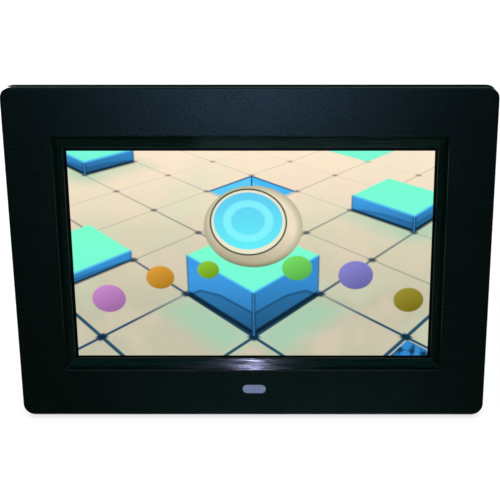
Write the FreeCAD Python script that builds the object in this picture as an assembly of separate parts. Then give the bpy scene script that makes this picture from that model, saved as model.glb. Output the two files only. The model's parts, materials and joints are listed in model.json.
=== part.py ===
"""Digital photo frame, 7 inch class, free standing on a fold-out leg.

The frame is drawn upright in its own axes: X to the viewer's right, Y from the
front face towards the back, Z up, in millimetres, with the front face at y = 0
and the lower edge at z = 0. At the end every piece is leaned back about X and
set down, so that the two rubber pads under the rear cover and the rubber foot
of the leg stand on z = 0. The leg is drawn folded and then swung open to its
stop, which is the rest position.
"""

import FreeCAD
import Part

import json
import math
import os

from FreeCAD import Matrix, Placement, Rotation, Vector as V

# ---------------------------------------------------------------- dimensions
FRAME_W = 202.0          # outer width of the front frame
FRAME_H = 145.2          # outer height of the front frame
FRAME_R = 5.0            # corner radius seen from the front
FRAME_EDGE_R = 1.0       # rounding of the front edge
FRAME_D = 5.5            # depth of the front frame's side wall
FACE_T = 2.2             # thickness of the front face
WALL_T = 2.0             # side wall thickness

AA_W, AA_H = 152.4, 91.4     # active area of the 7 inch display
SCREEN_DX, SCREEN_DZ = 0.1, -0.1     # active area centre from the frame centre
WIN_W, WIN_H = 154.4, 93.4   # inner edge of the bevelled recess
WIN_DX, WIN_DZ = 0.05, 0.27  # its centre from the frame centre
BEV_W, BEV_H = 162.5, 103.8  # outer edge of the bevelled recess
BEV_DX, BEV_DZ = 0.15, 0.57  # its centre from the frame centre
BEV_STEP = 0.45              # small square step at the top of the bevel
BEV_EDGE_R = 0.3             # rounding of the step's and the window's edges
BEV_D = 2.55                 # depth of the bevel at its inner edge
LIP_BACK = 3.3               # back of the window's lip

MOD_W, MOD_H = 165.0, 100.0  # display module outline
MOD_Y0, MOD_Y1 = 3.35, 8.95  # display module front and back

EYE_X, EYE_Z = 0.6, 12.45    # remote receiver window centre
EYE_W, EYE_H = 10.3, 4.8     # remote receiver window size

REAR_Y = 12.0                # back of the rear cover's border
REAR_IN = 10.2               # inside of the rear cover's border
TAPER0, TAPER1 = 0.6, 3.0    # rear border's inset from the outline, front and back
HUMP_X0, HUMP_X1 = 78.0, 75.6    # half width of the raised back, foot and top
HUMP_Z0, HUMP_Z1 = 13.5, 132.0   # raised back, foot
HUMP_Z2, HUMP_Z3 = 15.5, 130.0   # raised back, top
HUMP_Y = 23.5                # rear face of the raised back
HUMP_IN = 21.5               # inside of the rear face

LEAN_DEG = 15.0              # how far the frame leans back
LEG_OPEN_DEG = 29.5          # leg from folded to its stop
HINGE_Y, HINGE_Z = 19.8, 97.0
PIN_R = 1.25
KNUCKLE_BORE_R = 1.30
KNUCKLE_R = 3.2
LEG_Y0, LEG_Y1 = 19.4, 23.0
LEG_TOP_HW, LEG_TIP_HW = 19.0, 15.5
LEG_TIP_Z = 5.0
POCKET_FLOOR = 18.0
HINGE_FLOOR = 15.6
GROUND_C = -1.97             # floor line, z = GROUND_C + y tan(lean), upright axes

BUTTON_XS = (-33.0, -16.5, 0.0, 16.5, 33.0)
BUTTON_NAMES = ("menu", "back", "play", "next", "exit")
BUTTON_Z = 120.6
BUTTON_TRAVEL = 0.5
KNOB_Z0 = 80.6               # power knob centre at rest
KNOB_TRAVEL = 2.0

PORT_Y = 14.22               # back of the main board
JACK_DC_Z, JACK_HP_Z, MINI_Z, SWITCH_Z = 49.0, 58.6, 68.2, 81.6
JACK_DC_Y, JACK_HP_Y = 17.6, 17.2
CARD_Z0, CARD_Z1 = 45.2, 71.6
USB_Z0, USB_Z1 = 73.4, 86.6

CASE_SCREWS = [(sx * 89.0, z) for sx in (-1, 1) for z in (12.5, 72.6, 132.7)]
CLIP_POSTS = [(sx * 60.0, z) for sx in (-1, 1) for z in (18.4, 126.3)]
BOARD_POSTS = [(-52.0, 46.8), (-30.0, 84.5), (45.0, 84.5), (44.0, 47.5)]
KEY_POSTS = [(-46.0, 120.6), (46.0, 120.6)]
EYE_POSTS = [(EYE_X - 10.5, 11.9), (EYE_X + 10.5, 11.9)]
KEYHOLES = [(-60.0, 111.5), (60.0, 111.5)]
SPEAKERS = [(-50.0, 30.6), (50.0, 30.6)]

XC, ZC = 0.0, FRAME_H / 2.0
SX, SZ = XC + SCREEN_DX, ZC + SCREEN_DZ
WX, WZ = XC + WIN_DX, ZC + WIN_DZ
BX, BZ = XC + BEV_DX, ZC + BEV_DZ


# ------------------------------------------------------------------- helpers
def rr(x0, x1, z0, z1, r, y):
    """Rounded rectangle wire in the plane y."""
    s = math.sqrt(0.5)
    k = r * (1 - s)
    pts = [
        (x0 + r, z0), (x1 - r, z0), (x1, z0 + r), (x1, z1 - r),
        (x1 - r, z1), (x0 + r, z1), (x0, z1 - r), (x0, z0 + r),
    ]
    mids = [(x1 - k, z0 + k), (x1 - k, z1 - k), (x0 + k, z1 - k), (x0 + k, z0 + k)]
    p = [V(a, y, b) for a, b in pts]
    m = [V(a, y, b) for a, b in mids]
    edges = []
    for i in range(4):
        a, b, c = p[2 * i], p[2 * i + 1], p[(2 * i + 2) % 8]
        if a.distanceToPoint(b) > 1e-6:
            edges.append(Part.LineSegment(a, b).toShape())
        edges.append(Part.Arc(b, m[i], c).toShape())
    return Part.Wire(edges)


def rect(x0, x1, z0, z1, y):
    return Part.makePolygon([V(x0, y, z0), V(x1, y, z0), V(x1, y, z1), V(x0, y, z1), V(x0, y, z0)])


def ext(wire, dy):
    s = Part.Face(wire).extrude(V(0, dy, 0))
    return s


def prism(x0, x1, z0, z1, r, y0, y1):
    return ext(rr(x0, x1, z0, z1, r, y0), y1 - y0)


def loft(a, b):
    return Part.makeLoft([a, b], True, True)


def box(x0, x1, y0, y1, z0, z1):
    return Part.makeBox(x1 - x0, y1 - y0, z1 - z0, V(x0, y0, z0))


def cy(x, z, r, y0, y1):
    return Part.makeCylinder(r, y1 - y0, V(x, y0, z), V(0, 1, 0))


def cx(y, z, r, x0, x1):
    return Part.makeCylinder(r, x1 - x0, V(x0, y, z), V(1, 0, 0))


def poly_xz(points, y0, y1):
    w = Part.makePolygon([V(a, y0, b) for a, b in points + points[:1]])
    return Part.Face(w).extrude(V(0, y1 - y0, 0))


def poly_yz(points, x0, x1):
    w = Part.makePolygon([V(x0, a, b) for a, b in points + points[:1]])
    return Part.Face(w).extrude(V(x1 - x0, 0, 0))


def pill(xc, zc, w, h, y0, y1):
    """Pill along X, or along Z when h is the longer."""
    r = min(w, h) / 2.0 - 1e-4
    return prism(xc - w / 2, xc + w / 2, zc - h / 2, zc + h / 2, r, y0, y1)


def fuse(*shapes):
    out = shapes[0]
    rest = [s for s in shapes[1:]]
    if rest:
        out = out.fuse(rest)
    return out.removeSplitter()


def cut(a, *tools):
    return a.cut(list(tools)) if tools else a


def round_edges(shape, r, pick):
    edges = [e for e in shape.Edges if pick(e)]
    return shape.makeFillet(r, edges) if edges else shape


def bevel_edges(shape, c, pick):
    edges = [e for e in shape.Edges if pick(e)]
    return shape.makeChamfer(c, edges) if edges else shape


def in_plane_y(y, tol=1e-4):
    return lambda e: abs(e.BoundBox.YMin - y) < tol and abs(e.BoundBox.YMax - y) < tol


def one(shape):
    """The single solid in a shape."""
    solids = shape.Solids
    if len(solids) != 1:
        raise RuntimeError("expected 1 solid, found %d" % len(solids))
    return solids[0]


def screw(x, z, y_head, head_r, head_h, shank_r, length, up):
    """Pan head screw with a cross recess. up is +1 if the head faces +Y."""
    if up > 0:
        head = cy(x, z, head_r, y_head - head_h, y_head)
        head = round_edges(head, head_h * 0.35, in_plane_y(y_head))
        shank = cy(x, z, shank_r, y_head - head_h - length, y_head - head_h + 0.01)
        slot_y = (y_head - head_h * 0.55, y_head + 0.1)
    else:
        head = cy(x, z, head_r, y_head, y_head + head_h)
        head = round_edges(head, head_h * 0.35, in_plane_y(y_head))
        shank = cy(x, z, shank_r, y_head + head_h - 0.01, y_head + head_h + length)
        slot_y = (y_head - 0.1, y_head + head_h * 0.55)
    s = fuse(head, shank)
    a, b = head_r * 0.58, head_r * 0.14
    return one(cut(s, box(x - a, x + a, slot_y[0], slot_y[1], z - b, z + b),
                   box(x - b, x + b, slot_y[0], slot_y[1], z - a, z + a)))


def tube(points, r, bend):
    """Round lead along straight runs joined by tangent arcs."""
    pts = [V(*p) for p in points]
    edges, start = [], pts[0]
    for i in range(1, len(pts) - 1):
        a, b, c = pts[i - 1], pts[i], pts[i + 1]
        u, w = (a - b), (c - b)
        lu, lw = u.Length, w.Length
        u.normalize()
        w.normalize()
        ang = u.getAngle(w)
        turn = math.pi - ang
        t = min(bend * math.tan(turn / 2), 0.45 * lu, 0.45 * lw)
        rad = t / math.tan(turn / 2)
        p0, p1 = b + u * t, b + w * t
        mid_dir = (u + w)
        mid_dir.normalize()
        centre = b + mid_dir * (rad / math.cos(turn / 2))
        mid = centre - mid_dir * rad
        edges.append(Part.LineSegment(start, p0).toShape())
        edges.append(Part.Arc(p0, mid, p1).toShape())
        start = p1
    edges.append(Part.LineSegment(start, pts[-1]).toShape())
    path = Part.Wire(edges)
    d = pts[1] - pts[0]
    prof = Part.Wire(Part.makeCircle(r, pts[0], d))
    s = path.makePipeShell([prof], True, True)
    return s


NODES = {}


def node(name, *shapes):
    solids = []
    for s in shapes:
        solids += s.Solids
    NODES[name] = solids


# --------------------------------------------------------------- front frame
# One moulding: a wide flat border, a bevelled recess mitred at its corners, a
# side wall all round, posts for the case screws and the display's clips.
body = prism(-FRAME_W / 2, FRAME_W / 2, 0, FRAME_H, FRAME_R, 0, FRAME_D)
body = round_edges(body, FRAME_EDGE_R, in_plane_y(0))
hollow = prism(-FRAME_W / 2 + WALL_T, FRAME_W / 2 - WALL_T, WALL_T, FRAME_H - WALL_T, FRAME_R - WALL_T, FACE_T, FRAME_D + 1)
body = cut(body, hollow)
seat = box(SX - 86.0, SX + 86.0, FACE_T - 0.2, LIP_BACK, SZ - 55.0, SZ + 55.0)
rib_o = box(SX - MOD_W / 2 - 1.4, SX + MOD_W / 2 + 1.4, FACE_T, 7.6, SZ - MOD_H / 2 - 1.4, SZ + MOD_H / 2 + 1.4)
rib_i = box(SX - MOD_W / 2 - 0.2, SX + MOD_W / 2 + 0.2, LIP_BACK, 8.0, SZ - MOD_H / 2 - 0.2, SZ + MOD_H / 2 + 0.2)
ribs = cut(rib_o, rib_i,
           box(-70, -40, 4.4, 8, 0, 145), box(40, 70, 4.4, 8, 0, 145),
           box(-101, 101, 4.4, 8, SZ - 22, SZ + 22), box(-14, 14, 4.4, 8, 0, 40))
posts = [cy(x, z, 3.0, FACE_T - 0.2, 8.0) for x, z in CASE_SCREWS]
clip_posts = [cy(x, z, 2.1, FACE_T - 0.2, 9.0) for x, z in CLIP_POSTS]
eye_posts = [cy(x, z, 2.0, FACE_T - 0.2, 7.2) for x, z in EYE_POSTS]
gussets = []
for x, z in CASE_SCREWS:
    s = 1 if x > 0 else -1
    gussets.append(box(min(x, s * 99.2), max(x, s * 99.2), FACE_T - 0.2, 3.75, z - 0.6, z + 0.6))
body = fuse(body, seat, ribs, *posts, *clip_posts, *eye_posts, *gussets)
def outer_rect(g, y):
    return rect(BX - BEV_W / 2 - g, BX + BEV_W / 2 + g, BZ - BEV_H / 2 - g, BZ + BEV_H / 2 + g, y)


def window_rect(g, y):
    return rect(WX - WIN_W / 2 - g, WX + WIN_W / 2 + g, WZ - WIN_H / 2 - g, WZ + WIN_H / 2 + g, y)


# recess profile from the face inwards: rounded step, bevel, rounded lip
e = BEV_EDGE_R
profile = [
    outer_rect(e * 1.5, -0.22 * e), outer_rect(e * 0.36, 0.22 * e), outer_rect(e * 0.08, 0.66 * e), outer_rect(0, BEV_STEP),
    window_rect(e, BEV_D - 0.46 * e), window_rect(e * 0.36, BEV_D + 0.05 * e), window_rect(e * 0.08, BEV_D + 0.50 * e),
    window_rect(0, BEV_D + 1.3 * e),
]
recess = [loft(a, b) for a, b in zip(profile[:-1], profile[1:])]
window = ext(profile[-1], 6)
eye_hole = pill(EYE_X, EYE_Z, EYE_W + 0.16, EYE_H + 0.16, -1, 4)
holes = [cy(x, z, 1.05, 3.0, 9.0) for x, z in CASE_SCREWS]
holes += [cy(x, z, 0.80, 3.6, 10.0) for x, z in CLIP_POSTS]
holes += [cy(x, z, 0.80, 3.0, 8.0) for x, z in EYE_POSTS]
front = cut(body, *recess, window, eye_hole, *holes)
node("front_frame", one(front))

# remote receiver window: a pill shaped lens with a flange behind the face
lens = pill(EYE_X, EYE_Z, EYE_W, EYE_H, -0.15, FACE_T + 0.1)
lens = round_edges(lens, 0.35, in_plane_y(-0.15))
flange = pill(EYE_X, EYE_Z, EYE_W + 2.2, EYE_H + 2.2, FACE_T + 0.04, FACE_T + 0.8)
node("receiver_window", one(fuse(lens, flange)))

# receiver board and the receiver module with its domed lens
eb = box(EYE_X - 14.0, EYE_X + 14.0, 7.22, 8.32, 6.6, 17.2)
eb = cut(eb, *[cy(x, z, 1.1, 7, 9) for x, z in EYE_POSTS])
node("receiver_board", one(eb))
rx = box(EYE_X - 3.0, EYE_X + 3.0, 4.6, 7.2, 9.2, 14.8)
dome = Part.makeSphere(1.7, V(EYE_X, 4.9, EYE_Z)).common(box(EYE_X - 3, EYE_X + 3, 3.2, 5.6, 9, 15))
node("receiver_module", one(fuse(rx, dome)))

# ------------------------------------------------------------ display module
mx0, mx1 = SX - MOD_W / 2, SX + MOD_W / 2
mz0, mz1 = SZ - MOD_H / 2, SZ + MOD_H / 2
sb = box(mx0, mx1, MOD_Y0, 8.4, mz0, mz1)
sb = cut(sb, box(mx0 + 0.3, mx1 - 0.3, MOD_Y0 + 0.3, 9, mz0 + 0.3, mz1 - 0.3),
         box(SX - 78.1, SX + 78.1, 3, 4, SZ - 47.3, SZ + 47.8))
node("display_steel_bezel", one(sb))
node("display_polariser", box(SX - 77.8, SX + 77.8, 3.58, 3.78, SZ - 47.0, SZ + 47.5))
node("display_glass", box(mx0 + 0.9, mx1 - 0.9, 3.80, 5.10, mz0 + 0.9, mz1 - 0.9))
node("optical_films", box(mx0 + 4.2, mx1 - 4.2, 5.16, 5.66, mz0 + 3.4, mz1 - 2.2))
node("light_guide", box(mx0 + 4.4, mx1 - 4.4, 5.72, 7.72, mz0 + 3.6, mz1 - 2.4))
node("reflector_film", box(mx0 + 4.2, mx1 - 4.2, 7.78, 7.98, mz0 + 3.4, mz1 - 2.2))
bf = box(mx0 + 0.5, mx1 - 0.5, 5.14, 8.30, mz0 + 0.5, mz1 - 0.5)
bf = cut(bf, box(mx0 + 4.1, mx1 - 4.1, 5, 9, mz0 + 1.7, mz1 - 2.1))
node("backlight_frame", one(bf))
led_bar = box(mx0 + 6, mx1 - 6, 5.8, 7.7, mz0 + 1.8, mz0 + 2.5)
leds = [box(mx0 + 14 + i * 15.2, mx0 + 17.6 + i * 15.2, 6.0, 7.4, mz0 + 2.48, mz0 + 3.4) for i in range(10)]
node("backlight_led_bar", one(fuse(led_bar, *leds)))
bp = box(mx0 + 0.5, mx1 - 0.5, 8.45, 8.93, mz0 + 0.5, mz1 - 0.5)
bp = cut(bp, *[box(x, x + 22, 8.7, 9.2, SZ - 30, SZ - 28.5) for x in (-60, 38)])
node("display_back_plate", one(bp))

# flat flex from the display's back, round under the board and up to its plug
fx0, fx1, ft = -11.0, 11.0, 0.15
a0, a1 = 8.97, 8.97 + ft
yc, zc_, ro = (8.97 + 15.35) / 2.0, 37.0, (15.35 - 8.97) / 2.0
flex = fuse(
    box(fx0, fx1, a0, a1, zc_, 43.0),
    cut(cx(yc, zc_, ro, fx0, fx1), cx(yc, zc_, ro - ft, fx0 - 1, fx1 + 1), box(-50, 50, 0, 30, zc_, 60)),
    box(fx0, fx1, 15.35 - ft, 15.35, zc_, 47.2),
)
node("display_flex", one(flex))

# steel clips that hold the display down on the front frame's posts
clips = []
for x, z in CLIP_POSTS:
    s = 1 if z > 70 else -1
    c = box(x - 6, x + 6, 9.03, 9.73, min(z - s * 6.6, z + s * 2.2), max(z - s * 6.6, z + s * 2.2))
    clips.append(one(cut(c, cy(x, z, 1.05, 8, 11))))
node("display_clips", *clips)
node("insulation_sheet", box(-66, 66, 10.3, 10.5, 48.5, 117.5))

# ---------------------------------------------------------------- rear cover
def inset(i, y, r=None):
    r = max(0.6, FRAME_R - i) if r is None else r
    return rr(-FRAME_W / 2 + i, FRAME_W / 2 - i, i, FRAME_H - i, r, y)


tray_o = loft(inset(TAPER0, FRAME_D + 0.1), inset(TAPER1, REAR_Y))
tray_o = round_edges(tray_o, 1.4, in_plane_y(REAR_Y))
lip = prism(-FRAME_W / 2 + 2.15, FRAME_W / 2 - 2.15, 2.15, FRAME_H - 2.15, FRAME_R - 2.15, 3.9, 6.4)
hump_o = loft(rr(-HUMP_X0, HUMP_X0, HUMP_Z0, HUMP_Z1, 9, 10.8), rr(-HUMP_X1, HUMP_X1, HUMP_Z2, HUMP_Z3, 8, HUMP_Y))
hump_o = round_edges(hump_o, 2.2, in_plane_y(HUMP_Y))
tray_i = loft(inset(3.4, 3.0), inset(5.2, REAR_IN))
hump_i = loft(rr(-HUMP_X0 + 1.8, HUMP_X0 - 1.8, HUMP_Z0 + 1.8, HUMP_Z1 - 1.8, 7, 9.5),
              rr(-HUMP_X1 + 2, HUMP_X1 - 2, HUMP_Z2 + 2, HUMP_Z3 - 2, 6, HUMP_IN))
shell = fuse(tray_o, lip, hump_o)
shell = cut(shell, tray_i, hump_i)

lw, tw = LEG_TOP_HW + 0.9, LEG_TIP_HW + 1.0
def pocket_outline(g, ztop, zmid, zlow):
    return [(-lw - g, ztop), (lw + g, ztop), (lw + g, zmid), (tw + g, zlow), (-tw - g, zlow), (-lw - g, zmid)]


POCKET_TOP = 105.4
pocket_block = poly_xz(pocket_outline(1.7, POCKET_TOP + 1.7, 90, 10), POCKET_FLOOR - 1.6, HUMP_Y)
hinge_block = box(-lw - 1.7, lw + 1.7, HINGE_FLOOR - 1.6, HUMP_Y, 89.3, POCKET_TOP + 1.7)
bosses = [cx(HINGE_Y, HINGE_Z, 3.4, lw + 1.0, 24.6), cx(HINGE_Y, HINGE_Z, 3.4, -24.6, -lw - 1.0)]
hull = loft(rr(-HUMP_X0, HUMP_X0, HUMP_Z0, HUMP_Z1, 9, 10.8), rr(-HUMP_X1, HUMP_X1, HUMP_Z2, HUMP_Z3, 8, HUMP_Y))
hull = round_edges(hull, 2.2, in_plane_y(HUMP_Y))
inner_parts = [pocket_block, hinge_block] + bosses
# screw tubes at the border, board posts, key board posts, keyhole pockets
inner_parts += [cy(x, z, 3.6, 8.1, 11.5) for x, z in CASE_SCREWS]
board_posts = [cy(x, z, 2.5, PORT_Y + 0.02, HUMP_IN + 0.6) for x, z in BOARD_POSTS]
key_posts = [cy(x, z, 2.3, 16.74, HUMP_IN + 0.6) for x, z in KEY_POSTS]
key_pockets = [box(x - 5.6, x + 5.6, 15.9, HUMP_IN + 0.6, z - 5.4, z + 10.4) for x, z in KEYHOLES]
spk_ring = []
for x, z in SPEAKERS:
    spk_ring.append(cut(pill(x, z, 33.4, 23.4, 19.2, HUMP_IN + 0.4), pill(x, z, 31.0, 21.0, 15, 25)))
rear = fuse(shell, *inner_parts[:4], *inner_parts[4:], *board_posts, *key_posts, *key_pockets, *spk_ring)
rear = rear.common(fuse(tray_o, lip, hull))
cuts = [
    poly_xz(pocket_outline(0, POCKET_TOP, 90, 8), POCKET_FLOOR, 30),
    box(-lw, lw, HINGE_FLOOR, 30, 91.0, POCKET_TOP),
    cx(HINGE_Y, HINGE_Z, PIN_R, -26, 23.7),
]
for x, z in CASE_SCREWS:
    cuts += [cy(x, z, 1.5, 7, 14), cy(x, z, 2.7, REAR_IN + 0.1, 14)]
cuts += [cy(x, z, 0.80, 14, 20.6) for x, z in BOARD_POSTS]
cuts += [cy(x, z, 0.80, 16, 20.6) for x, z in KEY_POSTS]
for x, z in KEYHOLES:
    cuts += [box(x - 4.4, x + 4.4, 17.1, HUMP_IN, z - 4.3, z + 9.2),
             cy(x, z, 4.0, 17.2, 26), box(x - 2.1, x + 2.1, 20, 26, z, z + 6.5), cy(x, z + 6.5, 2.1, 20, 26)]
# button openings, vents, speaker slots
cuts += [pill(x, BUTTON_Z, 9.3, 5.5, 20, 26) for x in BUTTON_XS]
for s in (-1, 1):
    for i in range(5):
        cuts.append(pill(s * 41.5, 84.0 + i * 3.7, 23.0, 1.6, 20.5, 26))
for x, z in SPEAKERS:
    for i in range(-3, 4):
        h = 15.0 - abs(i) * 1.6
        cuts.append(pill(x + i * 3.5, z, 1.5, h, 20, 26))
# side openings: card slot and USB on the right, sockets and switch on the left
cuts += [
    box(72, 80, PORT_Y + 0.15, 17.55, CARD_Z0 + 0.5, CARD_Z1 - 0.5),
    box(72, 80, PORT_Y - 0.02, PORT_Y + 6.0, USB_Z0 - 0.15, USB_Z1 + 0.15),
    cx(JACK_DC_Y, JACK_DC_Z, 3.2, -80, -72),
    cx(JACK_HP_Y, JACK_HP_Z, 2.9, -80, -72),
    box(-80, -72, PORT_Y - 0.02, PORT_Y + 4.3, MINI_Z - 4.1, MINI_Z + 4.1),
    box(-80, -72, PORT_Y + 0.95, PORT_Y + 3.35, KNOB_Z0 - 2.1, KNOB_Z0 + KNOB_TRAVEL + 2.1),
]
rear = cut(rear, *cuts)

# moulded symbols under the buttons, 0.25 mm proud of the rear face
SYM_Z, SY0, SY1 = BUTTON_Z - 6.0, HUMP_Y - 0.2, HUMP_Y + 0.25
def tri(xc, d, g=0.0):
    return poly_xz([(xc - d * 0.8, SYM_Z - 1.1), (xc + d * 0.9, SYM_Z), (xc - d * 0.8, SYM_Z + 1.1)], SY0, SY1)


sym = []
for i in range(3):
    sym.append(box(BUTTON_XS[0] - 1.3, BUTTON_XS[0] + 1.3, SY0, SY1, SYM_Z - 1.1 + i * 0.9, SYM_Z - 0.7 + i * 0.9))
sym += [tri(BUTTON_XS[1] - 1.0, 1.0), tri(BUTTON_XS[1] + 1.1, 1.0)]
sym += [tri(BUTTON_XS[2] - 0.6, 1.1), box(BUTTON_XS[2] + 1.0, BUTTON_XS[2] + 1.4, SY0, SY1, SYM_Z - 1.1, SYM_Z + 1.1)]
sym += [tri(BUTTON_XS[3] + 1.0, -1.0), tri(BUTTON_XS[3] - 1.1, -1.0)]
sym += [cut(cy(BUTTON_XS[4], SYM_Z, 1.25, SY0, SY1), cy(BUTTON_XS[4], SYM_Z, 0.8, SY0 - 1, SY1 + 1))]
rear = fuse(rear, *sym)
node("rear_cover", one(rear))

# rubber pads under the rear cover's border, with their soles on the floor line
tan_lean = math.tan(math.radians(LEAN_DEG))


def floor_z(y):
    return GROUND_C + y * tan_lean


def border_z(y):
    return TAPER0 + (y - FRAME_D - 0.1) * (TAPER1 - TAPER0) / (REAR_Y - FRAME_D - 0.1)


pads = []
for x in (-72.0, 72.0):
    p = poly_yz([(6.2, border_z(6.2)), (10.3, border_z(10.3)), (10.3, floor_z(10.3)), (6.2, floor_z(6.2))], x - 8, x + 8)
    vertical = [e for e in p.Edges if abs(abs((e.Vertexes[0].Point - e.Vertexes[-1].Point).z) - (e.BoundBox.ZMax - e.BoundBox.ZMin)) < 1e-6
                and e.BoundBox.XMax - e.BoundBox.XMin < 1e-6 and e.BoundBox.YMax - e.BoundBox.YMin < 1e-6]
    pads.append(p.makeFillet(1.2, vertical))
node("foot_pads", *pads)

# ------------------------------------------------------- main board and parts
mb = box(-70.5, 70.5, 12.6, PORT_Y - 0.02, 43.6, 88.0)
mb = cut(mb, *[cy(x, z, 1.2, 12, 15) for x, z in BOARD_POSTS])
mb = cut(mb, *[box(sx * 71 - 3 if sx > 0 else -74, 74 if sx > 0 else -68, 12, 15, 87, 90) for sx in (-1, 1)])
node("main_board", one(mb))
P0 = PORT_Y


def qfp(xc, zc, w, h, t):
    b = box(xc - w / 2, xc + w / 2, P0 + 0.08, P0 + t, zc - h / 2, zc + h / 2)
    return bevel_edges(b, 0.25, in_plane_y(P0 + t))


cpu = qfp(4.0, 64.0, 16.0, 16.0, 1.45)
pins = []
for i in range(14):
    o = -6.5 + i * 1.0
    pins += [box(4 + o - 0.18, 4 + o + 0.18, P0, P0 + 0.55, 64 - 9.6, 64 - 7.9), box(4 + o - 0.18, 4 + o + 0.18, P0, P0 + 0.55, 64 + 7.9, 64 + 9.6),
             box(4 - 9.6, 4 - 7.9, P0, P0 + 0.55, 64 + o - 0.18, 64 + o + 0.18), box(4 + 7.9, 4 + 9.6, P0, P0 + 0.55, 64 + o - 0.18, 64 + o + 0.18)]
node("processor_chip", one(fuse(cpu, *pins)))
node("memory_chips", qfp(-15.5, 64.0, 12.0, 18.0, 1.2), qfp(25.0, 56.0, 10.0, 10.0, 1.1))
inds = []
for x, z in ((-44.0, 55.0), (-44.0, 66.0)):
    b = box(x - 3.6, x + 3.6, P0 + 0.02, P0 + 4.0, z - 3.6, z + 3.6)
    b = round_edges(b, 1.6, lambda e: e.BoundBox.YMax - e.BoundBox.YMin > 3)
    inds.append(one(cut(b, cut(cy(x, z, 2.9, P0 + 3.4, P0 + 5), cy(x, z, 2.0, P0 + 3, P0 + 5)))))
node("power_inductors", *inds)
caps = []
for x, z in ((-54.0, 52.4), (-54.0, 60.0), (-29.5, 53.0), (36.0, 75.0)):
    c = cy(x, z, 2.5, P0 + 0.02, P0 + 5.6)
    caps.append(round_edges(c, 0.4, in_plane_y(P0 + 5.6)))
node("filter_capacitors", *caps)
xtal = prism(-2.5, 8.5, 77.2, 81.2, 1.9, P0 + 0.02, P0 + 1.7)
node("crystal_can", xtal)
dconn = cut(box(-12.5, 12.5, P0 + 0.02, P0 + 2.0, 46.4, 51.2), box(-11.2, 11.2, P0 + 0.7, P0 + 1.3, 46, 48.6))
lconn = [cut(box(x - 3.2, x + 3.2, P0 + 0.02, P0 + 3.4, z - 2.6, z + 2.6), box(x - 2.5, x + 2.5, P0 + 1.0, P0 + 2.9, z - 3, z + 1.4))
         for x, z in ((-36.0, 47.0), (35.0, 47.0), (24.5, 47.0))]
rconn = box(27.4, 37.6, P0 + 0.02, P0 + 0.96, 82.4, 86.2)
node("board_connectors", one(dconn), *[one(c) for c in lconn], rconn)

# memory card socket: folded tin shell round a flat slot
cs = box(48.0, 73.6, P0 + 0.02, P0 + 3.3, CARD_Z0, CARD_Z1)
cs = cut(cs, box(50.0, 80, P0 + 0.5, P0 + 2.75, CARD_Z0 + 1.1, CARD_Z1 - 1.1))
node("card_socket", one(cs))
# USB host socket: shell and tongue
us = box(60.0, 74.6, P0 + 0.02, P0 + 5.8, USB_Z0, USB_Z1)
us = round_edges(us, 0.5, lambda e: e.BoundBox.XMax - e.BoundBox.XMin > 14)
us = cut(us, box(61.0, 80, P0 + 0.32, P0 + 5.5, USB_Z0 + 0.3, USB_Z1 - 0.3))
node("usb_host_shell", one(us))
node("usb_host_tongue", box(61.02, 72.6, P0 + 3.2, P0 + 5.1, USB_Z0 + 0.9, USB_Z1 - 0.9))
# mini USB socket: shell and tongue
ms = box(-74.4, -65.5, P0 + 0.02, P0 + 4.0, MINI_Z - 3.9, MINI_Z + 3.9)
ms = round_edges(ms, 0.5, lambda e: e.BoundBox.XMax - e.BoundBox.XMin > 8)
ms = cut(ms, box(-80, -66.3, P0 + 0.35, P0 + 3.67, MINI_Z - 3.57, MINI_Z + 3.57))
node("mini_usb_shell", one(ms))
node("mini_usb_tongue", box(-72.8, -66.32, P0 + 1.5, P0 + 2.4, MINI_Z - 2.2, MINI_Z + 2.2))
# power socket for a 3.5 mm plug, with its 1.3 mm centre pin
dj = box(-73.4, -61.5, P0 + 0.02, P0 + 6.6, JACK_DC_Z - 3.7, JACK_DC_Z + 3.7)
dj = round_edges(dj, 0.6, lambda e: e.BoundBox.XMax - e.BoundBox.XMin > 11)
dj = cut(dj, cx(JACK_DC_Y, JACK_DC_Z, 1.95, -80, -63.4))
node("power_jack", one(dj))
cp = cx(JACK_DC_Y, JACK_DC_Z, 0.65, -72.4, -63.42)
cp = round_edges(cp, 0.3, lambda e: abs(e.BoundBox.XMin + 72.4) < 1e-4 and abs(e.BoundBox.XMax + 72.4) < 1e-4)
node("power_jack_pin", cp)
# 3.5 mm headphone socket with its round nozzle
hj = fuse(box(-72.6, -60.0, P0 + 0.02, P0 + 5.6, JACK_HP_Z - 3.2, JACK_HP_Z + 3.2), cx(JACK_HP_Y, JACK_HP_Z, 2.7, -75.4, -72.5))
hj = cut(hj, cx(JACK_HP_Y, JACK_HP_Z, 1.8, -80, -61.4))
node("headphone_jack", one(hj))

# power slide switch: housing on the board, knob through the side wall
KY0, KY1 = P0 + 1.15, P0 + 3.15
hs = box(-72.3, -67.6, P0 + 0.02, P0 + 4.2, SWITCH_Z - 5.2, SWITCH_Z + 5.2)
hs = cut(hs, box(-80, -69.4, KY0 - 0.1, KY1 + 0.1, KNOB_Z0 - 1.6, KNOB_Z0 + KNOB_TRAVEL + 1.6))
node("power_switch_housing", one(hs))
kn = box(-78.2, -69.6, KY0, KY1, KNOB_Z0 - 1.45, KNOB_Z0 + 1.45)
kn = fuse(kn, box(-73.6, -72.9, P0 + 0.45, P0 + 3.85, KNOB_Z0 - 2.6, KNOB_Z0 + 2.6))
kn = cut(kn, *[box(-78.6, -77.9, KY0 - 1, KY1 + 1, KNOB_Z0 + d - 0.2, KNOB_Z0 + d + 0.2) for d in (-0.8, 0.0, 0.8)])
node("power_switch_knob", one(kn))

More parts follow.
